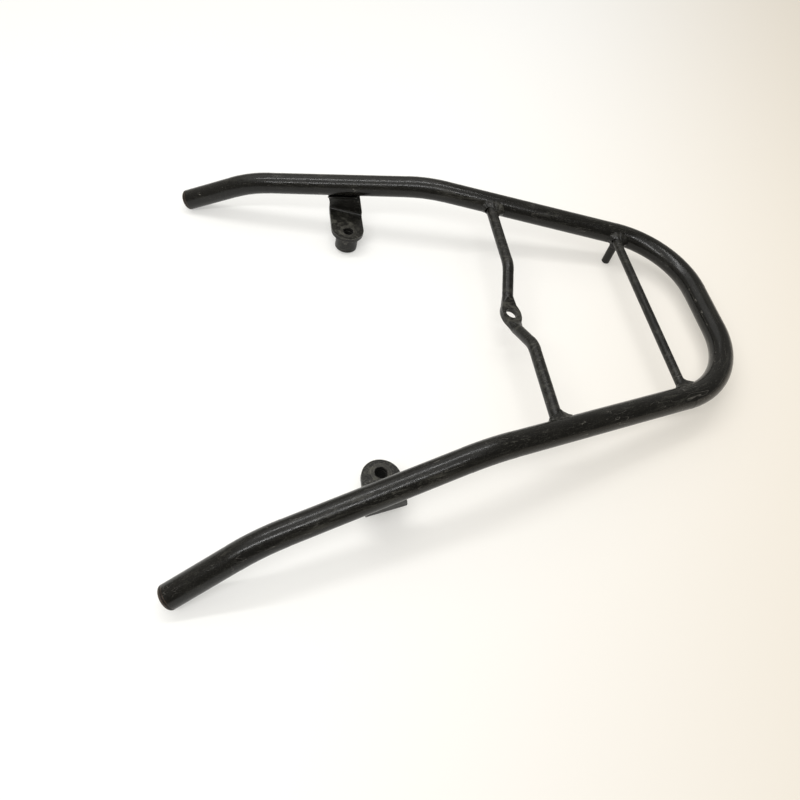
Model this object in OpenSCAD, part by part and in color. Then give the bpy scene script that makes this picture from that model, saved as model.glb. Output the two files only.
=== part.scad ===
// Rear luggage rack of a scooter or small motorcycle. One bent steel tube makes
// the deck and both arms. Two rods cross it, a short pin hangs from the right arm
// and a folded bracket with a spacer boss hangs from each arm. It is welded up and
// painted black all over.
// The rack is drawn in the plane of its deck: the deck is the flat rear part of the
// tube, X runs to the rear, Y to the rider's right and Z up. The finished rack is
// then leaned forward until it stands on its two tips and the pin.

/* [Frame tube] */
// Outside diameter of the bent tube
tube_d = 20; // [18:0.5:22]
// Wall thickness of the bent tube
tube_wall = 2; // [1.2:0.1:3]
// Distance of the tube's rear run from the drawing's origin
rear_x = 264; // [240:1:290]
// Width of the deck between the corner points at its rear
rear_w = 170; // [160:1:200]
// Bend radius of the rear corners on the tube's centre line
corner_r = 80; // [60:1:90]
// Angle by which each arm spreads outward from straight ahead
splay = 15.2; // [8:0.1:20]
// Length of the deck part of each arm, from corner point to bend point
deck_run = 252; // [235:1:280]
// Angle by which each arm drops at its middle bend
mid_drop = 14.4; // [8:0.1:20]
// Bend radius of the middle bend
mid_bend_r = 150; // [100:5:200]
// Length of each arm between its middle and its tip bend
mid_run = 178; // [160:1:200]
// Further angle by which each arm drops at its tip bend
tip_turn = 18.6; // [10:0.1:24]
// Twist of the tube in the bender before the tip bend, which spreads the tips
tip_twist = 4.5; // [0:0.1:8]
// Bend radius of the tip bend
tip_bend_r = 120; // [90:5:160]
// Length of each tip, from bend point to the end of the cap
tip_run = 78; // [60:1:90]

/* [End caps] */
// Thickness of the part of a cap that shows
cap_t = 3; // [2:0.1:5]
// Rounding of a cap's rim
cap_round = 2; // [0.5:0.1:2]
// Length of a cap's spigot in the tube
spigot_len = 8; // [4:0.5:14]
// Gap all round between a spigot and the tube's bore
spigot_gap = 0.1; // [0.05:0.05:0.3]

/* [Rear cross rod] */
// Diameter of the straight rear rod
rear_rod_d = 8; // [6:0.5:9]
// Distance of the rear rod in front of the tube's rear run
rear_rod_gap = 60; // [52:0.5:66]

/* [Front cross rod] */
// Diameter of the bent front rod
front_rod_d = 10; // [8:0.5:12]
// Distance of the front rod's ends in front of the tube's rear run
front_rod_gap = 183; // [165:1:200]
// Distance from the rack's middle to each upper knee of the front rod
knee_y = 47.5; // [40:0.5:60]
// Bend radius of the upper knees
knee_r = 26; // [15:1:40]
// Depth of the dip in the middle of the front rod
dip = 15.5; // [10:0.5:20]
// Forward lean of the dip from the deck's upright
dip_lean = 14; // [0:1:25]
// Distance from the rack's middle to each lower knee, where the eye begins
foot_y = 14; // [12:0.5:17]

/* [Eye] */
// Width of the flattened eye
eye_w = 18.5; // [16:0.5:22]
// Length of the flattened eye between its two points
eye_l = 36; // [30:1:44]
// Thickness of the flattened eye
eye_t = 5; // [4:0.5:7]
// Diameter of the hole in the eye
eye_hole_d = 10.5; // [8:0.5:11]
// Chamfer at both rims of the eye's hole
eye_chamfer = 0.6; // [0.2:0.1:1]
// Lean of the flattened eye from the deck, towards the rear
eye_lean = 7; // [0:0.5:14]
// Length of the forged shoulder between the round rod and its lower knee
shoulder = 6; // [3:0.5:10]

/* [Hook pin] */
// Diameter of the pin under the right arm
pin_d = 8; // [6:0.5:10]
// Distance of the pin's axis in front of the tube's rear run
pin_gap = 57; // [54:0.5:64]
// Distance of the pin's axis inboard of the arm's centre line
pin_inset = 6.9; // [5:0.1:7.5]
// Depth of the pin's end below the deck's centre plane
pin_reach = 30.6; // [28:0.1:34]
// Gap between the pin's upper end and the rear rod above it
pin_rod_gap = 1; // [0.5:0.1:3]
// Chamfer on the pin's end
pin_chamfer = 0.8; // [0.2:0.1:1.5]

/* [Brackets] */
// Width of the strip that each bracket is folded from
bracket_w = 32; // [28:1:36]
// Thickness of that strip
bracket_t = 4; // [3:0.5:5]
// Distance of a bracket's hole in front of the tube's rear run
bracket_gap = 315; // [300:1:330]
// Distance of a bracket's hole inboard of the arm's centre line
bracket_reach = 32; // [28:0.5:38]
// Depth of the tab's top face below the deck's centre plane
tab_drop = 50; // [47:0.5:52]
// Inner radius of the fold
fold_r = 3; // [1.5:0.5:5]
// Diameter of the bolt bore through tab and boss
bore_d = 10; // [8.5:0.5:11]
// Distance from the bolt bore to the tab's round end
tab_nose = 12; // [9:0.5:16]

/* [Spacer bosses] */
// Outside diameter of a boss
boss_d = 22; // [18:0.5:26]
// Length of a boss under its tab
boss_len = 15; // [12:0.1:15.3]
// Chamfer on a boss's lower rim
boss_chamfer = 0.8; // [0.2:0.1:1.5]

/* [Welds] */
// Leg of the fillet welds at the rods
weld_leg = 4.5; // [2.5:0.1:6]
// Share by which a rod's weld grows in the sharp corner and shrinks in the wide one
weld_lopside = 0.4; // [0:0.05:0.6]
// Leg of the welds at the brackets and the pin
small_leg = 3; // [1.5:0.1:4]
// Leg of the weld between a boss and its tab
boss_leg = 2; // [1:0.1:3]
// Part of the circle that a boss's weld goes round, on the side away from the tab's end
boss_arc = 200; // [90:5:220]

/* [Hidden] */
$fn = 64;

paint = [0.13, 0.13, 0.12];
weld_paint = [0.17, 0.17, 0.16];
hair = 0.01;
bend_step = 0.12;
past = 1;

tube_r = tube_d / 2;
bore_r = bore_d / 2;
boss_r = boss_d / 2;
pin_r = pin_d / 2;
pin_top = rear_rod_d / 2 + pin_rod_gap;

// Straight lengths taken up on each side of a bend point by the bend itself
function bend_share(r, turn) = r * tan(turn / 2);
corner_turn = 90 - splay;
corner_share = bend_share(corner_r, corner_turn);
mid_share = bend_share(mid_bend_r, mid_drop);
tip_share = bend_share(tip_bend_r, tip_turn);

// One half of the tube as the bender makes it, from the middle of the rear run:
// twist of the tube, straight feed, angle of the bend and its radius
half_steps = [
    [0, rear_w / 2 - corner_share, corner_turn, corner_r],
    [-90, deck_run - corner_share - mid_share, mid_drop, mid_bend_r],
    [-tip_twist, mid_run - mid_share - tip_share, tip_turn, tip_bend_r],
    [0, tip_run - tip_share - cap_t, 0, 0]
];

// Directions and bend points of the right arm in the drawing's own frame
ahead = [-cos(splay), sin(splay), 0];
inboard = [-sin(splay), -cos(splay), 0];
down = [0, 0, -1];
mid_dir = cos(mid_drop) * ahead + sin(mid_drop) * down;
mid_down = cos(mid_drop) * down - sin(mid_drop) * ahead;
tip_side = cos(tip_twist) * mid_down - sin(tip_twist) * inboard;
tip_dir = cos(tip_turn) * mid_dir + sin(tip_turn) * tip_side;
corner = [rear_x, rear_w / 2, 0];
mid_point = corner + deck_run * ahead;
fore_point = mid_point + mid_run * mid_dir;
tip_point = fore_point + tip_run * tip_dir;

// Centre of the right corner bend, seen from above, and where that bend ends
turn_at = [rear_x - corner_r, rear_w / 2 - corner_share];
turn_end_x = turn_at.x + corner_r * sin(splay);

// Distance of the right arm from the rack's middle at x, on its centre line or on a
// line that lies a given amount inboard of it
function arm_y(x, inset = 0) = x > turn_end_x
    ? turn_at.y + sqrt(pow(corner_r - inset - (inset > 0 ? bend_step : 0), 2) - pow(x - turn_at.x, 2))
    : corner.y + (rear_x - x) * tan(splay) - inset / cos(splay);

// Places of the cross rods, the pin and the brackets
rear_rod_x = rear_x - rear_rod_gap;
front_rod_x = rear_x - front_rod_gap;
pin_at = [rear_x - pin_gap, arm_y(rear_x - pin_gap) - pin_inset, 0];
hole_x = rear_x - bracket_gap;
hole_y = arm_y(hole_x) - bracket_reach;
tab_top = -tab_drop;
tab_under = tab_top - bracket_t;
boss_under = tab_under - boss_len;

// The rack leans forward until its tips and its pin stand on one level surface.
// The lowest point of a round end is found in the direction of that surface.
cap_flat_r = tube_r - cap_round;
cap_ring = tip_point - cap_round * tip_dir;
function fall(lean) = [sin(lean), 0, -cos(lean)];
function across(v, axis) = let (w = v - (v * axis) * axis) w / norm(w);
function tip_low(lean) = cap_ring + cap_flat_r * across(fall(lean), tip_dir) + cap_round * fall(lean);
function pin_low(lean) = pin_at + [(pin_r - pin_chamfer), 0, -pin_reach];
function lean_from(lean) =
    let (a = tip_low(lean), b = pin_low(lean))
    atan2(b.z - a.z, b.x - a.x);
lean = lean_from(lean_from(lean_from(9)));

// Extent of the leaned rack, which puts the origin under the middle of its box
function leaned(p) = [p.x * cos(lean) + p.z * sin(lean), p.y, p.z * cos(lean) - p.x * sin(lean)];
cap_front = leaned(cap_ring).x - cap_round - cap_flat_r * sqrt(1 - pow(leaned(tip_dir).x, 2));
loop_rear = leaned([rear_x, 0, 0]).x + tube_r + bend_step;
box_mid_x = (cap_front + loop_rear) / 2;
floor_z = leaned(tip_low(lean)).z;

module stand() {
    translate([-box_mid_x, 0, -floor_z])
        rotate([0, lean, 0])
            children();
}

module on_left() {
    mirror([0, 1, 0])
        children();
}

// Goes to the end of a bend of radius r towards +X
module past_bend(r, turn) {
    translate([r, 0, 0])
        rotate([0, turn, 0])
            translate([-r, 0, 0])
                children();
}

module ring(outer, inner) {
    difference() {
        circle(outer);
        if (inner > 0)
            circle(inner);
    }
}

// Follows bending steps from number i on and draws the tube or rod along them. Each
// step turns the section, feeds it straight ahead and bends it towards its own X.
// A bend is thicker than the straights by a small step, and they run a little way into it.
lap = 0.5;
module bent(steps, outer, inner = 0, i = 0) {
    feed = steps[i][1];
    turn = steps[i][2];
    r = steps[i][3];
    first = i == 0;
    last = i == len(steps) - 1;
    lap_before = first ? 0 : lap;
    lap_after = last ? 0 : lap;
    rotate([0, 0, steps[i][0]]) {
        translate([0, 0, -lap_before])
            linear_extrude(lap_before + feed + lap_after)
                ring(outer, inner);
        if (!last)
            translate([0, 0, feed]) {
                translate([r, 0, 0])
                    rotate([90, 0, 180])
                        rotate_extrude(angle = turn)
                            translate([r, 0])
                                rotate(180)
                                    ring(outer + bend_step, inner > 0 ? inner - bend_step : 0);
                past_bend(r, turn)
                    bent(steps, outer, inner, i + 1);
            }
    }
}

// Carries its children along the bending steps to the end of the tube
module to_tube_end(steps, i = 0) {
    rotate([0, 0, steps[i][0]])
        translate([0, 0, steps[i][1]])
            if (i < len(steps) - 1)
                past_bend(steps[i][3], steps[i][2])
                    to_tube_end(steps, i + 1)
                        children();
            else
                children();
}

// Starts at the middle of the rear run, heading for the right arm
module from_rear() {
    translate([rear_x, 0, 0])
        rotate([90, 0, 180])
            children();
}

module half_tube() {
    from_rear()
        bent(half_steps, tube_r, tube_r - tube_wall);
}

// The right half of the tube without its bore, which cuts what meets it to shape
module half_solid() {
    from_rear()
        bent(half_steps, tube_r);
}

module rack_tube() {
    color(paint)
        stand() {
            half_tube();
            on_left()
                half_tube();
        }
}

// A plug with a rounded rim that closes the end of an arm
module end_cap() {
    spigot_r = tube_r - tube_wall - spigot_gap;
    color(paint)
        from_rear()
            to_tube_end(half_steps) {
                rotate_extrude() {
                    square([tube_r, cap_t - cap_round]);
                    square([cap_flat_r, cap_t]);
                    translate([cap_flat_r, cap_t - cap_round])
                        intersection() {
                            circle(cap_round);
                            square(cap_round);
                        }
                }
                translate([0, 0, -spigot_len])
                    cylinder(h = spigot_len, r = spigot_r);
            }
}

// A rod's ends are cut square and touch the arms where these come closest
function rod_end(x, rod_r) = arm_y(x + rod_r, tube_r) - hair;

module rear_cross_rod() {
    color(paint)
        stand()
            translate([rear_rod_x, 0, 0])
                rotate([90, 0, 0])
                    cylinder(h = 2 * rod_end(rear_rod_x, rear_rod_d / 2), d = rear_rod_d, center = true);
}

// The front rod is bent in one plane that leans forward, down from its straight ends
slope = atan2(dip, knee_y - foot_y);
slope_run = norm([dip, knee_y - foot_y]);
knee_share = bend_share(knee_r, slope);
rod_end_y = rod_end(front_rod_x, front_rod_d / 2);
rod_steps = [
    [0, rod_end_y - knee_y - knee_share, slope, knee_r],
    [0, slope_run - knee_share - shoulder, 0, 0]
];
// The eye's outline is two arcs that meet in a point at each end
eye_arc_r = (pow(eye_w, 2) + pow(eye_l, 2)) / (4 * eye_w);
neck_y = eye_l / 4;
neck_w = 2 * (sqrt(pow(eye_arc_r, 2) - pow(neck_y, 2)) - eye_arc_r) + eye_w;

// Puts its children in the front rod's plane, at the right arm and heading inboard
module from_front_end() {
    translate([front_rod_x, 0, 0])
        rotate([0, dip_lean, 0])
            translate([0, rod_end_y, 0])
                rotate([90, 90, 0])
                    children();
}

module at_eye() {
    translate([front_rod_x, 0, 0])
        rotate([0, dip_lean, 0])
            translate([0, 0, -dip])
                rotate([0, eye_lean - dip_lean, 0])
                    children();
}

// One side of the rod with the forged shoulder that leads from round into flat
module front_rod_half() {
    from_front_end()
        bent(rod_steps, front_rod_d / 2);
    hull() {
        from_front_end()
            to_tube_end(rod_steps)
                translate([0, 0, -bend_step])
                    cylinder(h = hair, r = front_rod_d / 2 + bend_step, $fn = 32);
        at_eye()
            translate([0, neck_y, 0])
                cube([neck_w - lap, hair, eye_t - lap / 2], center = true);
    }
}

module eye_plate() {
    intersection_for (side = [-1, 1])
        translate([side * (eye_arc_r - eye_w / 2), 0, 0])
            cylinder(h = eye_t, r = eye_arc_r, center = true, $fn = 96);
}

module eye_hole() {
    cylinder(h = eye_t + past, d = eye_hole_d, center = true);
    for (side = [0, 180])
        rotate([side, 0, 0])
            translate([0, 0, eye_t / 2 - eye_chamfer])
                cylinder(h = 2 * eye_chamfer, d1 = eye_hole_d, d2 = eye_hole_d + 4 * eye_chamfer);
}

module front_cross_rod() {
    color(paint)
        stand()
            difference() {
                union() {
                    front_rod_half();
                    on_left()
                        front_rod_half();
                    at_eye()
                        eye_plate();
                }
                at_eye()
                    eye_hole();
            }
}

module pin_body() {
    translate(pin_at) {
        translate([0, 0, -pin_reach + pin_chamfer])
            cylinder(h = pin_reach - pin_chamfer - pin_top, r = pin_r);
        translate([0, 0, -pin_reach])
            cylinder(h = pin_chamfer, r1 = pin_r - pin_chamfer, r2 = pin_r);
    }
}

module hook_pin() {
    color(paint)
        stand()
            difference() {
                pin_body();
                half_solid();
            }
}

// Frame along the fold of the right bracket: its X runs down the fold to the rear,
// its Y points inboard and Z is up. The fold lies under the arm's centre line.
module at_fold() {
    translate([hole_x, arm_y(hole_x), 0])
        rotate([0, 0, -splay])
            mirror([0, 1, 0])
                children();
}

// Section of the folded strip: the leg under the tube, the fold and the tab inboard
fold_top = tab_top + fold_r;
module strip_section() {
    half_t = bracket_t / 2;
    translate([-half_t, fold_top])
        square([bracket_t, -fold_top]);
    translate([half_t + fold_r, tab_under])
        square([bracket_reach + bracket_w, bracket_t]);
    translate([half_t + fold_r, fold_top])
        intersection() {
            difference() {
                circle(fold_r + bracket_t);
                circle(fold_r);
            }
            translate([-fold_r - bracket_t, -fold_r - bracket_t])
                square(fold_r + bracket_t);
        }
}

// Height at which a leaning edge of the leg, x at the fold, meets the tube's centre
lean_from_z = fold_top + 1;
function leg_top(x) =
    let (fall_rate = tan(mid_drop) / cos(splay), lean_rate = sin(splay))
    -fall_rate * (mid_point.x - x - lean_rate * lean_from_z) / (1 + lean_rate * fall_rate);
function leg_corner(x) = [x - sin(splay) * (leg_top(x) - lean_from_z), leg_top(x)];

// The strip's outline: seen from above the tab runs straight inboard to its round
// end, and seen from the side the leg leans, because the strip is folded askew
module strip_outline() {
    half_w = bracket_w / 2;
    reach = 2 * bracket_reach;
    translate([hole_x, hole_y + half_w - tab_nose, tab_under - past])
        linear_extrude(lean_from_z - tab_under + past) {
            circle(half_w);
            translate([-half_w, 0])
                square([bracket_w, reach]);
        }
    translate([0, hole_y + reach, 0])
        rotate([90, 0, 0])
            linear_extrude(reach)
                polygon([
                    [hole_x - half_w, lean_from_z], [hole_x + half_w, lean_from_z],
                    leg_corner(hole_x + half_w), leg_corner(hole_x - half_w)
                ]);
}

module bracket() {
    color(paint)
        difference() {
            intersection() {
                at_fold()
                    rotate([90, 0, 90])
                        linear_extrude(4 * bracket_w, center = true)
                            strip_section();
                strip_outline();
            }
            translate([hole_x, hole_y, tab_under - past])
                cylinder(h = bracket_t + 2 * past, r = bore_r);
            half_solid();
        }
}

module boss_body() {
    translate([hole_x, hole_y, boss_under]) {
        translate([0, 0, boss_chamfer])
            cylinder(h = boss_len - boss_chamfer, r = boss_r);
        cylinder(h = boss_chamfer, r1 = boss_r - boss_chamfer, r2 = boss_r);
    }
}

module boss() {
    color(paint)
        difference() {
            boss_body();
            translate([hole_x, hole_y, boss_under - past])
                cylinder(h = boss_len + 2 * past, r = bore_r);
        }
}

// Fillet weld round a rod that meets the right arm at x. The ring has a section at
// each step round the rod: it runs from a toe on the rod over a slightly hollow face
// to a toe on the tube, and back along the tube's own curve to the corner.
weld_steps = 32;
face_steps = 4;
base_steps = 3;
weld_hollow = 0.3;
seat_gap = 0.03;

function weld_size(a) = weld_leg * (1 + weld_lopside * cos(a));
// Point on the tube that lies out mm from the rod's surface, in direction a round it
function tube_toe(x, a, rod_r, out) =
    let (
        up = asin(rod_r * sin(a) / tube_r) + out * sin(a) / tube_r * 180 / PI,
        toe_x = x + (rod_r + out) * cos(a)
    )
    [toe_x, arm_y(toe_x, (tube_r + seat_gap) * cos(up)), tube_r * sin(up)];
function weld_section(x, a, rod_r) =
    let (
        size = weld_size(a),
        seam = tube_toe(x, a, rod_r, 0),
        high = seam - [0, size, 0],
        low = tube_toe(x, a, rod_r, size),
        pull = weld_hollow * seam + (1 - weld_hollow) / 2 * (high + low)
    )
    [
        for (k = [0 : face_steps])
            let (t = k / face_steps)
            pow(1 - t, 2) * high + 2 * t * (1 - t) * pull + t * t * low,
        for (k = [base_steps - 1 : -1 : 0])
            tube_toe(x, a, rod_r, size * k / base_steps)
    ];

module rod_weld(x, rod_r) {
    count = face_steps + 1 + base_steps;
    clear_r = rod_r / cos(180 / weld_steps);
    points = [for (k = [0 : weld_steps - 1]) each weld_section(x, 360 * k / weld_steps, clear_r)];
    faces = [
        for (k = [0 : weld_steps - 1], j = [0 : count - 1])
            let (
                a = k * count + j,
                b = k * count + (j + 1) % count,
                c = ((k + 1) % weld_steps) * count + (j + 1) % count,
                d = ((k + 1) % weld_steps) * count + j
            )
            each [[a, b, c], [a, c, d]]
    ];
    color(weld_paint)
        polyhedron(points, faces);
}

// Blob of weld between the pin and the side of the tube, no higher than the pin
module pin_blob() {
    seam_z = sqrt(pow(tube_r, 2) - pow(pin_inset, 2));
    blob_r = norm([pin_r, small_leg]);
    intersection() {
        translate(pin_at - [0, 0, seam_z])
            sphere(blob_r);
        translate(pin_at - [0, 0, pin_top + blob_r])
            cube(2 * blob_r, center = true);
    }
}

module pin_weld() {
    color(weld_paint)
        difference() {
            pin_blob();
            pin_body();
            half_solid();
        }
}

// The right weld of the rear rod gives way to the pin and its weld
module rear_weld_by_pin() {
    color(weld_paint)
        difference() {
            rod_weld(rear_rod_x, rear_rod_d / 2);
            pin_body();
            pin_blob();
        }
}

// Section of the beads in both corners between a bracket's leg and the tube above it
module bracket_bead_section() {
    half_t = bracket_t / 2;
    seam = sqrt(pow(tube_r, 2) - pow(half_t, 2));
    for (side = [0, 1])
        mirror([0, side])
            difference() {
                polygon([
                    [seam - small_leg, half_t], [seam + small_leg, half_t],
                    [seam + 0.5 * small_leg, half_t + 0.7 * small_leg],
                    [seam - 0.5 * small_leg, half_t + 1.5 * small_leg]
                ]);
                circle(tube_r);
            }
}

module bracket_weld() {
    mid_x = (leg_corner(hole_x - bracket_w / 2).x + leg_corner(hole_x + bracket_w / 2).x) / 2;
    color(weld_paint)
        translate([mid_x, arm_y(mid_x), leg_top(mid_x)])
            rotate([0, 0, -splay])
                rotate([0, 90 - mid_drop, 0])
                    linear_extrude(bracket_w - small_leg, center = true)
                        bracket_bead_section();
}

// Bead under the tab, round the side of the boss that faces the leg
module boss_weld() {
    color(weld_paint)
        translate([hole_x, hole_y, tab_under])
            rotate([0, 0, 90 - boss_arc / 2])
                rotate_extrude(angle = boss_arc)
                    polygon([[boss_r, 0], [boss_r + boss_leg, 0], [boss_r, -boss_leg]]);
}

rack_tube();
front_cross_rod();
rear_cross_rod();
hook_pin();
stand() on_left() bracket();  // bracket_left
stand() bracket();  // bracket_right
stand() on_left() boss();  // boss_left
stand() boss();  // boss_right
stand() on_left() end_cap();  // end_cap_left
stand() end_cap();  // end_cap_right
stand() on_left() rod_weld(front_rod_x, front_rod_d / 2);  // weld_front_left
stand() rod_weld(front_rod_x, front_rod_d / 2);  // weld_front_right
stand() on_left() rod_weld(rear_rod_x, rear_rod_d / 2);  // weld_rear_left
stand() rear_weld_by_pin();  // weld_rear_right
stand() pin_weld();  // weld_pin
stand() on_left() bracket_weld();  // weld_bracket_left
stand() bracket_weld();  // weld_bracket_right
stand() on_left() boss_weld();  // weld_boss_left
stand() boss_weld();  // weld_boss_right
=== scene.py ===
# %% [markdown]
# # A worn black luggage rack
# The rack is one bent steel tube with two cross rods, two brackets and a strap
# pin, welded together and painted black. Its solids are already made at their true
# size, so this lesson dresses them. It sets up the photographer's view, gives every
# finish its wear, and models the ripples of the weld beads.

# %% Load the finished solids
import bpy
import bmesh
import math
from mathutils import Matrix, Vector, noise


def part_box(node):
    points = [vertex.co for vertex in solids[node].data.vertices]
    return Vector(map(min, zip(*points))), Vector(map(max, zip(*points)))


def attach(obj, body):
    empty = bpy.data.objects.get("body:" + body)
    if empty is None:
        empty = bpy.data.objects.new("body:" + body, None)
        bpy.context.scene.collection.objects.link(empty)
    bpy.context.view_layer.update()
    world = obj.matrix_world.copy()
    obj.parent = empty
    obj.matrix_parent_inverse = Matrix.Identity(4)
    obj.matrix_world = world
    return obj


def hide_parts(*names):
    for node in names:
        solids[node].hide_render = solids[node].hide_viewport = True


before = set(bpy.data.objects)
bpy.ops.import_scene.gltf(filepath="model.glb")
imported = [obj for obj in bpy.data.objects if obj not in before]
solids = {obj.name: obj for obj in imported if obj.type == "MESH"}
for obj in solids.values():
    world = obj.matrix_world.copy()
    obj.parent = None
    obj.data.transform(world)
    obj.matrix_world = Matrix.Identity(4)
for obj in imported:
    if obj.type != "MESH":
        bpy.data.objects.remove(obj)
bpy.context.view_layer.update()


# %% [markdown]
# ## The view
# A camera can be placed by eye, but this one was solved from the tube's edges in
# the picture, so its place, turn and lens are plain numbers. The picture is square
# and its centre lies almost exactly on the lens's axis, so hardly any shift is left.

# %% Place the camera
SENSOR_WIDTH = 36
LENS_LENGTH = 32.4
CAMERA_PLACE = (-0.12409, -0.41471, 0.50534)
CAMERA_TURN = (0.624958, -0.040403, -0.133538)
CENTRE_SHIFT = -0.00125

camera_data = bpy.data.cameras.new("view_camera")
camera_data.sensor_width = SENSOR_WIDTH
camera_data.lens = LENS_LENGTH
camera_data.shift_y = CENTRE_SHIFT
camera = bpy.data.objects.new("view_camera", camera_data)
bpy.context.scene.collection.objects.link(camera)
camera.location = CAMERA_PLACE
camera.rotation_euler = CAMERA_TURN
bpy.context.scene.camera = camera
bpy.context.scene.view_settings.view_transform = "Standard"
print("camera height:", round(camera.location.z, 3), "m")


# %% [markdown]
# ## Helpers for materials
# A procedural material is a graph. It can be joined up by hand in the node editor,
# but the rack's finishes share most of their steps, so short functions say each
# step once. The first three start a material, feed a socket and add a node.

# %% Add and join nodes
def new_material(name):
    made = bpy.data.materials.new(name)
    made.use_nodes = True
    return made, made.node_tree, made.node_tree.nodes["Principled BSDF"]


def feed(tree, socket, value):
    """Joins another node's output to a socket, or sets a plain value on it."""
    if isinstance(value, bpy.types.NodeSocket):
        tree.links.new(value, socket)
    else:
        socket.default_value = value


def add_node(tree, kind, settings=None, **inputs):
    node = tree.nodes.new("ShaderNode" + kind)
    for name, value in (settings or {}).items():
        setattr(node, name, value)
    for name, value in inputs.items():
        feed(tree, node.inputs[name], value)
    return node


print("first helpers ready")


# %% [markdown]
# The next ones are the arithmetic of a graph. Squeezing a soft pattern between two
# levels turns it into a crisp one, and a band picks out a ring or a line.

# %% Work with numbers and colours in a graph
def maths(tree, kind, *values):
    node = add_node(tree, "Math", {"operation": kind})
    for socket, value in zip(node.inputs, values):
        feed(tree, socket, value)
    return node.outputs[0]


def times(tree, *values):
    total = values[0]
    for value in values[1:]:
        total = maths(tree, "MULTIPLY", total, value)
    return total


def plus(tree, *values):
    total = values[0]
    for value in values[1:]:
        total = maths(tree, "ADD", total, value)
    return total


def squeeze(tree, value, low, high, to_low=0.0, to_high=1.0):
    node = add_node(tree, "MapRange", {"interpolation_type": "SMOOTHSTEP"})
    for socket, item in zip(node.inputs, (value, low, high, to_low, to_high)):
        feed(tree, socket, item)
    return node.outputs[0]


def band(tree, value, low, high, soft):
    """One between low and high, fading to nothing over soft on each side."""
    return times(tree, squeeze(tree, value, low - soft, low + soft),
                 squeeze(tree, value, high - soft, high + soft, 1.0, 0.0))


def blend_colour(tree, amount, first, second):
    node = add_node(tree, "Mix", {"data_type": "RGBA"})
    feed(tree, node.inputs["Factor"], amount)
    for name, value in (("A", first), ("B", second)):
        socket = [s for s in node.inputs if s.name == name and s.type == "RGBA"][0]
        feed(tree, socket, value)
    return [s for s in node.outputs if s.type == "RGBA"][0]


print("number helpers ready")


# %% [markdown]
# Places and directions are vectors, and they need a few steps of their own. The
# rack is the same on both sides, so a place is folded over the middle: its sideways
# coordinate loses its sign, and one pattern serves both arms.

# %% Work with places and directions in a graph
def split_axes(tree, vector):
    return add_node(tree, "SeparateXYZ", Vector=vector).outputs


def vector_step(tree, kind, first, second=None):
    node = add_node(tree, "VectorMath", {"operation": kind})
    feed(tree, node.inputs[0], first)
    if second is not None:
        feed(tree, node.inputs[1], second)
    return node.outputs[1] if kind in ("LENGTH", "DOT_PRODUCT") else node.outputs[0]


def surface_way(tree):
    return add_node(tree, "NewGeometry").outputs["Normal"]


def folded_place(tree):
    x, y, z = split_axes(tree, add_node(tree, "TexCoord").outputs["Object"])
    return add_node(tree, "CombineXYZ", X=x, Y=maths(tree, "ABSOLUTE", y), Z=z).outputs[0]


print("place helpers ready")


# %% [markdown]
# ## Coordinates that follow the tube
# The scuffs on the bent tube run along it, also round its corners. A pattern that
# is stretched straight along the room would cross the tube there. Unwrapping the
# tube would work, but the solids' meshes stay as they are, so the way along the
# tube is worked out from the place instead.
#
# Seen from above, each half of the tube is a straight arm, a round corner and half
# of the straight rear run. The way along it is the distance before the corner, plus
# the angle round it, plus the distance past it.

# %% Place the tube's corner
CORNER = Vector((0.23693, 0.085))
CORNER_RADIUS = 0.080
ARM_SPLAY = math.radians(15.37)
ARM_WAY = Vector((math.cos(ARM_SPLAY), -math.sin(ARM_SPLAY), 0))
OUT_OF_ARM = Vector((-ARM_WAY.y, ARM_WAY.x, 0))
CORNER_TURN = math.pi / 2 - ARM_SPLAY
CORNER_START = CORNER_RADIUS * math.tan(CORNER_TURN / 2)
CORNER_CENTRE = Vector((CORNER.x - CORNER_RADIUS, CORNER.y - CORNER_START, 0))
print("corner centre:", [round(v, 4) for v in CORNER_CENTRE])


# %% Measure along the tube instead of along the room
def tube_coordinates(tree, seed):
    """Metres along the tube, metres out from its corner's centre, and height."""
    from_centre = vector_step(tree, "SUBTRACT", folded_place(tree), CORNER_CENTRE)
    flat = vector_step(tree, "MULTIPLY", from_centre, Vector((1, 1, 0)))
    way = vector_step(tree, "DOT_PRODUCT", flat, ARM_WAY)
    outward = vector_step(tree, "DOT_PRODUCT", flat, OUT_OF_ARM)
    _, sideways, height = split_axes(tree, from_centre)
    before = maths(tree, "MINIMUM", way, 0.0)
    past = maths(tree, "MAXIMUM", maths(tree, "MULTIPLY", sideways, -1.0), 0.0)
    angle = maths(tree, "ARCTAN2", way, outward)
    angle = maths(tree, "MINIMUM", maths(tree, "MAXIMUM", angle, 0.0), CORNER_TURN)
    along = plus(tree, before, times(tree, angle, CORNER_RADIUS), past)
    whole = maths(tree, "POWER", vector_step(tree, "LENGTH", flat), 2.0)
    straight = plus(tree, times(tree, before, before), times(tree, past, past))
    rest = maths(tree, "SUBTRACT", whole, straight)
    across = maths(tree, "SQRT", maths(tree, "MAXIMUM", rest, 0.0))
    place = add_node(tree, "CombineXYZ", X=along, Y=across, Z=height).outputs[0]
    return add_node(tree, "Mapping", Vector=place, Location=(seed, seed, 0)).outputs[0]


def stretched(tree, where, share):
    """Draws a pattern out along the tube: a share of 0.1 makes it ten times longer."""
    return add_node(tree, "Mapping", Vector=where, Scale=(share, 1, 1)).outputs[0]


def speckle(tree, where, scale, detail=4.0, rough=0.6, warp=0.0):
    """A noise with about scale spots to the metre."""
    return add_node(tree, "TexNoise", Vector=where, Scale=scale, Detail=detail,
                    Roughness=rough, Distortion=warp).outputs["Fac"]


print("way round a corner:", round(CORNER_RADIUS * CORNER_TURN * 1000), "mm")


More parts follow.
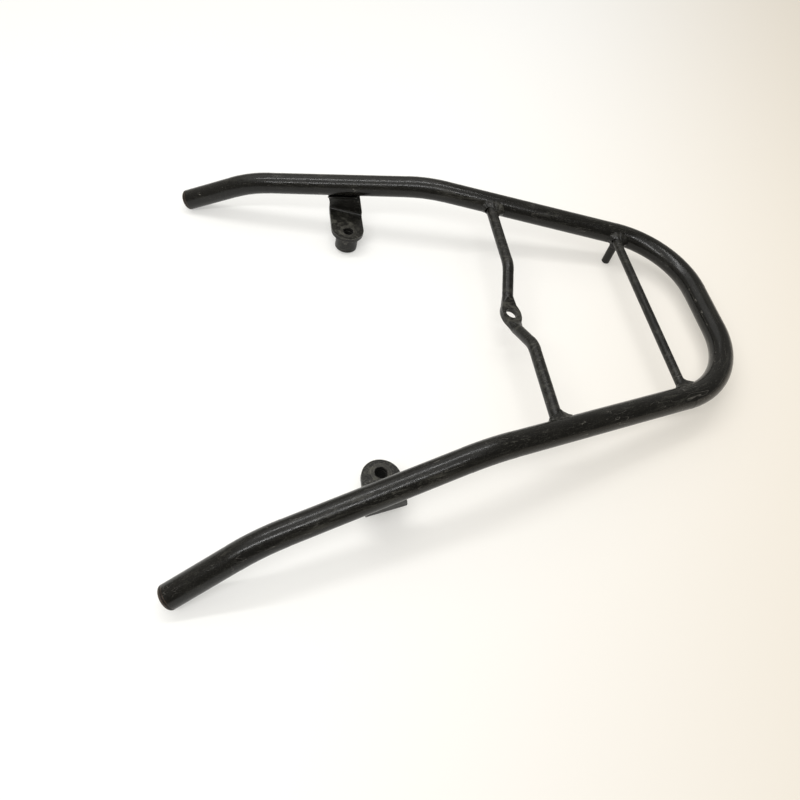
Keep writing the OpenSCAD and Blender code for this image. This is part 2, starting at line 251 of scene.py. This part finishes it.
# %% [markdown]
# ## Worn black paint
# The paint is a thin satin coat over steel, and it isn't one black. Rubbing dulls
# it in long grey scuffs on the upper side of the arms, with dust in between. It
# could be painted by hand on an image, but noise at several sizes wears the whole
# rack alike and needs no image. The scuffs come first: broad rubs and fine hairs,
# stronger in some patches, and fainter on the loop, which is the cleanest part.

# %% Scuff the paint
BLACK = (0.0045, 0.0041, 0.0031, 1)
GREY_SCUFF = (0.056, 0.054, 0.044, 1)
# Spots to the metre, and how far to the rear the loop begins and ends.
PATCHES, RUBS, HAIRS, DUST_GRAINS = 19, 190, 800, 1100
LOOP_BEGINS, LOOP_ENDS, LOOP_SHARE = 0.08, 0.20, 0.4


def scuffed(tree, drift, long_way, short_way):
    cloud = squeeze(tree, speckle(tree, drift, PATCHES, 3, 0.6), 0.40, 0.62)
    broad = squeeze(tree, speckle(tree, long_way, RUBS, 5, 0.7), 0.50, 0.66)
    fine = squeeze(tree, speckle(tree, short_way, HAIRS, 4, 0.75), 0.52, 0.68)
    dust = squeeze(tree, speckle(tree, drift, DUST_GRAINS, 3, 0.7), 0.55, 0.72)
    rubbed = times(tree, broad, plus(tree, times(tree, cloud, 0.5), 0.12))
    haired = times(tree, fine, plus(tree, times(tree, cloud, 0.6), 0.15))
    scuff = plus(tree, rubbed, haired, times(tree, dust, 0.35))
    upward = squeeze(tree, split_axes(tree, surface_way(tree))[2], -0.3, 0.8, 0.15, 1.0)
    rearward = split_axes(tree, folded_place(tree))[0]
    kept_rear = squeeze(tree, rearward, LOOP_BEGINS, LOOP_ENDS, 1.0, LOOP_SHARE)
    return times(tree, scuff, upward, kept_rear)


print("dust grain:", round(1000 / DUST_GRAINS, 1), "mm")


# %% [markdown]
# Scratches are thin paler lines where something hard slid over the paint, most of
# them along the tube and a few askew. A noise crosses its middle level along thin
# winding lines, so the places close to that level make them. Chips are small bare
# spots. The middles of a cell pattern make those, and only in a few patches.

# %% Scratch and chip the paint
BARE_CHIP = (0.19, 0.18, 0.16, 1)
LINE_WIDTH = 0.010
ASKEW_TURN, ASKEW_STRETCH = (0.3, 0.2, 1.1), (0.12, 1, 1)


def hairline(tree, pattern):
    """One on the thin lines where a noise crosses its middle level."""
    from_middle = maths(tree, "ABSOLUTE", maths(tree, "SUBTRACT", pattern, 0.5))
    return squeeze(tree, from_middle, 0.0, LINE_WIDTH, 1.0, 0.0)


def scratched(tree, drift, long_way):
    askew = add_node(tree, "Mapping", Vector=drift, Rotation=ASKEW_TURN,
                     Scale=ASKEW_STRETCH).outputs[0]
    lengthwise = hairline(tree, speckle(tree, long_way, 260, 1, 0.4, 0.25))
    slanting = hairline(tree, speckle(tree, askew, 210, 1, 0.4, 0.2))
    rare = squeeze(tree, speckle(tree, drift, 60, 3, 0.6), 0.52, 0.60)
    rarer = squeeze(tree, speckle(tree, drift, 38, 2, 0.6, 1.0), 0.58, 0.64)
    return plus(tree, times(tree, lengthwise, rare), times(tree, slanting, rarer))


def chipped(tree, drift, short_way):
    cells = add_node(tree, "TexVoronoi", Vector=short_way, Scale=300.0,
                     Randomness=1.0).outputs["Distance"]
    patch = squeeze(tree, speckle(tree, drift, 33, 2, 0.5), 0.60, 0.66)
    return times(tree, squeeze(tree, cells, 0.10, 0.22, 1.0, 0.0), patch)


print("scratch and chip helpers ready")


# %% [markdown]
# One function lays these over each other. A scuff also makes the paint duller and
# stands a little proud, while scratches and chips cut in. The depth of the grain is
# a few hundredths of a millimetre, enough to break a highlight but no more.

# %% Build the paint
PAINT_SHINE = 0.30
GRAIN, GLOSS_PATCHES = 620, 260
SHORT_STREAK = 0.30


def worn_paint(name, scuffs, scratches, chips, rough, seed, grain_depth=0.00006, streak=0.08):
    made, tree, shader = new_material(name)
    drift = tube_coordinates(tree, seed)
    long_way = stretched(tree, drift, streak)
    short_way = stretched(tree, drift, max(SHORT_STREAK, streak))
    scuff = times(tree, scuffed(tree, drift, long_way, short_way), scuffs)
    scratch = times(tree, scratched(tree, drift, long_way), scratches)
    chip = times(tree, chipped(tree, drift, short_way), chips)
    colour = blend_colour(tree, scuff, BLACK, GREY_SCUFF)
    colour = blend_colour(tree, scratch, colour, BARE_CHIP)
    colour = blend_colour(tree, chip, colour, BARE_CHIP)
    feed(tree, shader.inputs["Base Color"], colour)
    worn_gloss = squeeze(tree, speckle(tree, short_way, GLOSS_PATCHES, 4, 0.7), 0.35, 0.65)
    dulled = plus(tree, times(tree, worn_gloss, 0.12), times(tree, scuff, 0.25), rough)
    feed(tree, shader.inputs["Roughness"], dulled)
    shader.inputs["Specular IOR Level"].default_value = PAINT_SHINE
    fine_grain = times(tree, speckle(tree, drift, GRAIN, 3, 0.6), 0.7)
    proud = plus(tree, fine_grain, times(tree, worn_gloss, 0.5), times(tree, scuff, 0.3))
    cut_in = times(tree, plus(tree, scratch, chip), 0.9)
    bump = add_node(tree, "Bump", Strength=0.5, Distance=grain_depth,
                    Height=maths(tree, "SUBTRACT", proud, cut_in))
    feed(tree, shader.inputs["Normal"], bump.outputs[0])
    return made


print("paint can be mixed")


# %% [markdown]
# Each part of the rack then chooses its own wear. The tube is the smoothest, the
# rods are rubbed by straps, the brackets are dull from the bolts that pressed on
# them, and their streaks are short. The plugs in the arms' ends are plastic.

# %% Mix a finish for each kind of part
tube_paint = worn_paint("worn_tube_paint", scuffs=0.85, scratches=0.40, chips=0.6,
                        rough=0.16, seed=0.0, grain_depth=0.000025)
rod_paint = worn_paint("worn_rod_paint", scuffs=1.7, scratches=0.5, chips=0.6,
                       rough=0.26, seed=3.0, grain_depth=0.0001)
bracket_paint = worn_paint("rubbed_bracket_paint", scuffs=2.0, scratches=0.6, chips=0.4,
                           rough=0.34, seed=7.0, streak=0.6)
weld_paint = worn_paint("painted_weld", scuffs=1.0, scratches=0.2, chips=0.6,
                        rough=0.28, seed=11.0, grain_depth=0.00015)
cap_plastic = worn_paint("dull_cap_plastic", scuffs=0.4, scratches=0.3, chips=0.2,
                         rough=0.42, seed=15.0)
finishes = (tube_paint, rod_paint, bracket_paint, weld_paint, cap_plastic)
print("finishes:", [made.name for made in finishes])


# %% [markdown]
# ## Rubbed rings round the bolt bores
# A bolt head or a washer has pressed on each tab and rubbed the paint there. It
# left a paler ring round the bore, with its rims worn to the steel. The rings could
# be cut as shapes, but they have no height, so the distance from the bore's own
# axis draws them. They lie only on the tab's upper face, and blotches break them up.

# %% Measure from the bore's axis
BORE_PLACE = Vector((-0.0834567, 0.138584, 0.0113104))
RACK_LEAN = math.radians(8.78)
BORE_AXIS = Vector((math.sin(RACK_LEAN), 0, math.cos(RACK_LEAN)))

tree = bracket_paint.node_tree
from_bore = vector_step(tree, "SUBTRACT", folded_place(tree), BORE_PLACE)
off_axis = vector_step(tree, "CROSS_PRODUCT", from_bore, BORE_AXIS)
bore_distance = vector_step(tree, "LENGTH", off_axis)
flatness = vector_step(tree, "DOT_PRODUCT", surface_way(tree), BORE_AXIS)
on_top = squeeze(tree, flatness, 0.7, 0.9)
blotches = squeeze(tree, speckle(tree, folded_place(tree), 420, 4, 0.7), 0.35, 0.65, 0.3, 1.0)
print("bore axis:", [round(v, 4) for v in BORE_AXIS])

# %% Rub the rings into the paint
# Inner and outer radius, softness of the rims, strength and colour of each ring.
RUBBED_RINGS = (
    (0.0056, 0.0080, 0.0003, 0.50, GREY_SCUFF),
    (0.0081, 0.0085, 0.0002, 0.45, BARE_CHIP),
    (0.0057, 0.0060, 0.0002, 0.40, BARE_CHIP),
)


def tint(made, amount, colour):
    """Lays another colour over a finished paint where amount is high."""
    tree = made.node_tree
    shader = tree.nodes["Principled BSDF"]
    under = shader.inputs["Base Color"].links[0].from_socket
    feed(tree, shader.inputs["Base Color"], blend_colour(tree, amount, under, colour))


for inner, outer, soft, strength, colour in RUBBED_RINGS:
    ring = band(tree, bore_distance, inner, outer, soft)
    tint(bracket_paint, times(tree, ring, on_top, blotches, strength), colour)
print("rings out to:", RUBBED_RINGS[1][1] * 1000, "mm")


# %% [markdown]
# The inside of the bore is painted dark as shade, with paler stripes of painted sheen
# where the crests of its thread catch the light. The thread is too fine to model, so
# a wave along the bore's axis draws the stripes. The inside is also made dull, so the
# bore's roughness never falls below a set level.

# %% Paint shade and sheen into the bores
BORE_PAINTED_SHADE = (0.0010, 0.0010, 0.0008, 1)
THREAD_PAINTED_SHEEN = (0.016, 0.015, 0.012, 1)
THREAD_PITCH = 0.0025
BORE_SHADE_FULL, BORE_SHADE_GONE = 0.0054, 0.0059
BORE_ROUGH = 0.85

down_bore = vector_step(tree, "DOT_PRODUCT", from_bore, BORE_AXIS)
wave = maths(tree, "SINE", maths(tree, "MULTIPLY", down_bore, math.tau / THREAD_PITCH))
thread_painted_sheen = squeeze(tree, wave, -0.2, 0.9)
# Painted shade darkens the inside of the bore, and painted sheen draws the thread's stripes.
inside = squeeze(tree, bore_distance, BORE_SHADE_FULL, BORE_SHADE_GONE, 1.0, 0.0)
tint(bracket_paint, inside, blend_colour(tree, thread_painted_sheen, BORE_PAINTED_SHADE, THREAD_PAINTED_SHEEN))
bracket_rough = tree.nodes["Principled BSDF"].inputs["Roughness"]
paint_rough = bracket_rough.links[0].from_socket
feed(tree, bracket_rough, maths(tree, "MAXIMUM", paint_rough, times(tree, inside, BORE_ROUGH)))
print("thread pitch:", THREAD_PITCH * 1000, "mm")


# %% [markdown]
# ## Rubbed edges
# Paint wears first on corners. A hand-painted mask would show that, but the bevel
# trick finds the edges by itself: where a rounded copy of the surface would turn
# away from the real one, there is an edge. A noisy level breaks the line up, so
# that it looks rubbed and not drawn.

# %% Wear the edges of the brackets
EDGE_WIDTH = 0.0013
EDGE_STRENGTH = 0.6

rounded = add_node(tree, "Bevel", {"samples": 6}, Radius=EDGE_WIDTH).outputs[0]
turn = vector_step(tree, "DOT_PRODUCT", rounded, surface_way(tree))
edge = squeeze(tree, turn, 0.75, 0.98, 1.0, 0.0)
broken = squeeze(tree, speckle(tree, folded_place(tree), 350, 4, 0.7), 0.40, 0.62)
tint(bracket_paint, times(tree, edge, broken, EDGE_STRENGTH), BARE_CHIP)
print("rubbed:", bracket_paint.name)


# %% [markdown]
# ## The seam of the end caps
# A plug of plastic closes each arm's end. Where it meets the tube there is a fine
# dark gap, with a brownish mark on both sides of it. The plugs are solids of their
# own, so only the marks are left to add. The distance past the arm's tip draws
# them on both pieces, so that they meet at the seam.

# %% Draw the caps' seam
TIP = Vector((-0.24296, 0.21532, 0.00845))
TIP_WAY = Vector((-0.8767, 0.2441, -0.4147))
CAP_LENGTH = 0.003
CAP_BROWN = (0.075, 0.052, 0.040, 1)
SEAM_DARK = (0.0015, 0.0014, 0.0012, 1)
# Start and end past the seam, softness and strength of the marks on tube and cap.
BROWN_MARKS = ((-0.0012, -0.0003, 0.0002, 0.6), (0.0008, 0.0027, 0.0004, 0.9))
SEAM_HALF, SEAM_SOFT = 0.0003, 0.00012

for made in (tube_paint, cap_plastic):
    tree = made.node_tree
    from_tip = vector_step(tree, "SUBTRACT", folded_place(tree), TIP)
    past_seam = plus(tree, vector_step(tree, "DOT_PRODUCT", from_tip, TIP_WAY), CAP_LENGTH)
    uneven = squeeze(tree, speckle(tree, folded_place(tree), 260, 3, 0.6), 0.35, 0.6, 0.2, 1.0)
    for start, end, soft, strength in BROWN_MARKS:
        mark = band(tree, past_seam, start, end, soft)
        tint(made, times(tree, mark, uneven, strength), CAP_BROWN)
    tint(made, band(tree, past_seam, -SEAM_HALF, SEAM_HALF, SEAM_SOFT), SEAM_DARK)
print("cap length:", CAP_LENGTH * 1000, "mm")


# %% [markdown]
# ## Dressing the solids
# The tube, rods, brackets, bosses and plugs already have their true shape. They
# could be modelled again here, but a second copy might drift from the first, so
# each only gets one finish in place of the plain one that it came with.

# %% Give each solid its finish
PARTS_BY_FINISH = (
    (tube_paint, ("rack_tube",)),
    (rod_paint, ("front_cross_rod", "rear_cross_rod", "hook_pin")),
    (bracket_paint, ("bracket_left", "bracket_right", "boss_left", "boss_right")),
    (cap_plastic, ("end_cap_left", "end_cap_right")),
)

for finish, parts in PARTS_BY_FINISH:
    for part in parts:
        solids[part].data.materials.clear()
        solids[part].data.materials.append(finish)
print("dressed:", sum(len(parts) for finish, parts in PARTS_BY_FINISH))


# %% [markdown]
# ## Weld beads
# A hand-laid bead is a row of small overlapping ripples. It could be a row of tiny
# separate lumps, but the solids already give each bead its size and place. So a
# copy of the solid's mesh is joined up, made finer and shaped, and then replaces it.

# %% Copy a bead and put it in the solid's place
def bead_copy(node, cuts):
    shell = bmesh.new()
    shell.from_mesh(solids[node].data)
    bmesh.ops.remove_doubles(shell, verts=shell.verts, dist=1e-6)
    bmesh.ops.subdivide_edges(shell, edges=shell.edges, cuts=cuts, use_grid_fill=True)
    shell.normal_update()
    return shell


def finish_bead(shell, node):
    for face in shell.faces:
        face.smooth = True
    mesh = bpy.data.meshes.new("bead_" + node)
    shell.to_mesh(mesh)
    shell.free()
    bead = bpy.data.objects.new("bead_" + node, mesh)
    bpy.context.scene.collection.objects.link(bead)
    mesh.materials.append(weld_paint)
    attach(bead, "root")
    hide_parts(node)


print("beads to shape:", sum(name.startswith("weld_") for name in solids))


# %% [markdown]
# The ripples go round the rod as a wave, and lumps of two sizes make them uneven.
# On the real rack the bead also flares out where it reaches the tube, and climbs a
# little way up the rod. The flare follows the tube's own slope and splay, so that
# it lies on the tube and doesn't stand off it as a lip.

# %% Ripple, flare and climb
# How far an arm runs sideways and down for each metre to the rear.
DECK_SPLAY = 0.275
DECK_FALL = -0.1545
FLARE_RISE, CLIMB_FADE = 2, 1.6
# Lumps to the metre, and their height as a share of the ripple's depth.
COARSE_LUMP, FINE_LUMP = (260, 0.9), (600, 0.4)
WAVE_MIDDLE = 0.6


def lump_at(place):
    return sum(noise.noise(place * scale) * height for scale, height in (COARSE_LUMP, FINE_LUMP))


def ripple(node, centre, axis, count, depth, cuts=2, spread=0.0, climb=0.0):
    shell = bead_copy(node, cuts)
    axis = axis.normalized()
    side = axis.orthogonal().normalized()
    other = axis.cross(side)
    reach = [abs(vert.co.y) for vert in shell.verts]
    low, high = min(reach), max(reach)
    moves = []
    for vert in shell.verts:
        arm = vert.co - centre
        inward = -vert.co.y
        turn = math.atan2(arm.dot(other), arm.dot(side))
        wave = abs(math.sin(turn * count / 2)) - WAVE_MIDDLE
        from_rod_end = (abs(vert.co.y) - low) / (high - low)
        flare = spread * min(1.0, FLARE_RISE * from_rod_end)
        climbed = math.copysign(climb, inward) * max(0.0, 1 - CLIMB_FADE * from_rod_end)
        tube_way = Vector((1, math.copysign(DECK_SPLAY, inward), DECK_FALL))
        moves.append(vert.normal * depth * (wave + lump_at(vert.co))
                     + tube_way * arm.x * flare + Vector((0, climbed, 0)))
    for vert, move in zip(shell.verts, moves):
        vert.co += move
    finish_bead(shell, node)


def middle(node):
    low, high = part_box(node)
    return (low + high) / 2


print("bead at the front rod:", [round(v, 3) for v in middle("weld_front_right")])

# %% Shape all the beads
ROD_AXIS = Vector((0, 1, 0))
PIN_AXIS = Vector((0, 0, 1))
LEG_AXIS = Vector((0, 0.3, 1))

for side in ("left", "right"):
    front, rear = "weld_front_" + side, "weld_rear_" + side
    leg, boss = "weld_bracket_" + side, "weld_boss_" + side
    ripple(front, middle(front), ROD_AXIS, count=11, depth=0.00040, spread=0.18, climb=0.0028)
    ripple(rear, middle(rear), ROD_AXIS, count=9, depth=0.00035, spread=0.12, climb=0.0018)
    ripple(boss, middle("boss_" + side), BORE_AXIS, count=40, depth=0.00016)
    ripple(leg, middle(leg), LEG_AXIS, count=1, depth=0.0002, cuts=3)
ripple("weld_pin", middle("weld_pin"), PIN_AXIS, count=9, depth=0.0004)


# %% [markdown]
# ## The floor
# The rack lies on a plain pale sheet, with painted shade that turns it a little warmer
# and darker towards the camera and the right. One flat square with a blend of two
# colours does that.
# Lamps strong enough to whiten the sheet would wash out the black paint, so a part
# of the sheet's colour is given off and not lit. The rest still takes the shadow.

# %% Make the sheet
SHEET_HALF = 4

sheet = bmesh.new()
bmesh.ops.create_grid(sheet, x_segments=1, y_segments=1, size=SHEET_HALF)
floor_mesh = bpy.data.meshes.new("pale_floor")
sheet.to_mesh(floor_mesh)
sheet.free()
floor = bpy.data.objects.new("pale_floor", floor_mesh)
bpy.context.scene.collection.objects.link(floor)
print("floor:", tuple(round(v, 1) for v in floor.dimensions))

# %% Colour the sheet
SHEET_WHITE = (0.965, 0.960, 0.935, 1)
SHEET_PAINTED_SHADE = (0.83, 0.76, 0.65, 1)
NOTHING = (0, 0, 0, 1)
FLOOR_SHADE_BEGINS, FLOOR_SHADE_FULL = -0.15, 0.52
FLOOR_SHADE_NEARER = -0.45
SHEET_GLOW = 0.45

floor_look, tree, shader = new_material("pale_floor")
x, y, _ = split_axes(tree, add_node(tree, "TexCoord").outputs["Object"])
# Painted shade: the sheet turns darker and warmer towards the camera and the right.
toward_corner = maths(tree, "MULTIPLY_ADD", y, FLOOR_SHADE_NEARER, x)
painted_floor_shade = squeeze(tree, toward_corner, FLOOR_SHADE_BEGINS, FLOOR_SHADE_FULL)
sheet_colour = blend_colour(tree, painted_floor_shade, SHEET_WHITE, SHEET_PAINTED_SHADE)
ray = add_node(tree, "LightPath").outputs
mirrored = maths(tree, "MAXIMUM", ray["Is Glossy Ray"], ray["Is Transmission Ray"])
seen = maths(tree, "MAXIMUM", ray["Is Camera Ray"], mirrored)
glow = times(tree, seen, SHEET_GLOW)
feed(tree, shader.inputs["Base Color"], blend_colour(tree, glow, sheet_colour, NOTHING))
feed(tree, shader.inputs["Emission Color"], sheet_colour)
feed(tree, shader.inputs["Emission Strength"], glow)
shader.inputs["Roughness"].default_value = 0.9
shader.inputs["Specular IOR Level"].default_value = 0.1
floor_mesh.materials.append(floor_look)
print("glowing share:", SHEET_GLOW)


# %% [markdown]
# ## The light
# Black satin paint shows its lamps more than its own colour, so the lamps are
# placed by what each one draws. The wide ceiling, behind the rack and to the left,
# makes the grey upper half of each tube. The two narrow strips draw the two thin
# bright lines along the arms. The small lamp over the rear loop is there for the
# sheet and its faint shadows, so it is kept out of the paint's reflections.

# %% Hang the lamps
def panel(name, place, aim, width, depth, power):
    data = bpy.data.lights.new(name, "AREA")
    data.shape = "RECTANGLE"
    data.size = width
    data.size_y = depth
    data.energy = power
    lamp = bpy.data.objects.new(name, data)
    bpy.context.scene.collection.objects.link(lamp)
    lamp.location = place
    lamp.rotation_euler = (Vector(aim) - Vector(place)).to_track_quat("-Z", "Y").to_euler()
    return lamp


panel("soft_ceiling", (-0.45, 0.60, 1.30), (-0.45, 0.60, 0), width=1.7, depth=2.4, power=9.5)
deck_lamp = panel("deck_lamp", (0.28, 0.047, 0.49), (0.28, 0.047, 0),
                  width=0.16, depth=0.16, power=0.25)
deck_lamp.visible_glossy = False
panel("near_strip", (-0.45, -0.66, 1.25), (-0.45, -0.15, 0.05), width=1.4, depth=0.08, power=8.4)
panel("far_strip", (-0.25, 0.36, 1.28), (-0.25, 0.0, 0.05), width=1.3, depth=0.08, power=6.0)


# %% [markdown]
# The room itself fills in the shadows. One even level would do, but the real tubes
# are darker where they face the camera's side of the room, so its level falls from
# the far left to the near right. Its light is slightly warm.

# %% Light the room
ROOM_WARMTH = (1.0, 0.975, 0.91, 1)
ROOM_DIM, ROOM_BRIGHT = 0.24, 0.50

world = bpy.data.worlds.new("soft_room")
bpy.context.scene.world = world
world.use_nodes = True
room = world.node_tree
x, y, _ = split_axes(room, add_node(room, "TexCoord").outputs["Generated"])
toward_far_left = maths(room, "MULTIPLY_ADD", y, 0.8, times(room, x, -0.5))
room_level = squeeze(room, toward_far_left, -0.8, 0.7, ROOM_DIM, ROOM_BRIGHT)
room_light = room.nodes["Background"].inputs
room_light["Color"].default_value = ROOM_WARMTH
feed(room, room_light["Strength"], room_level)
print("room level:", ROOM_DIM, "to", ROOM_BRIGHT)
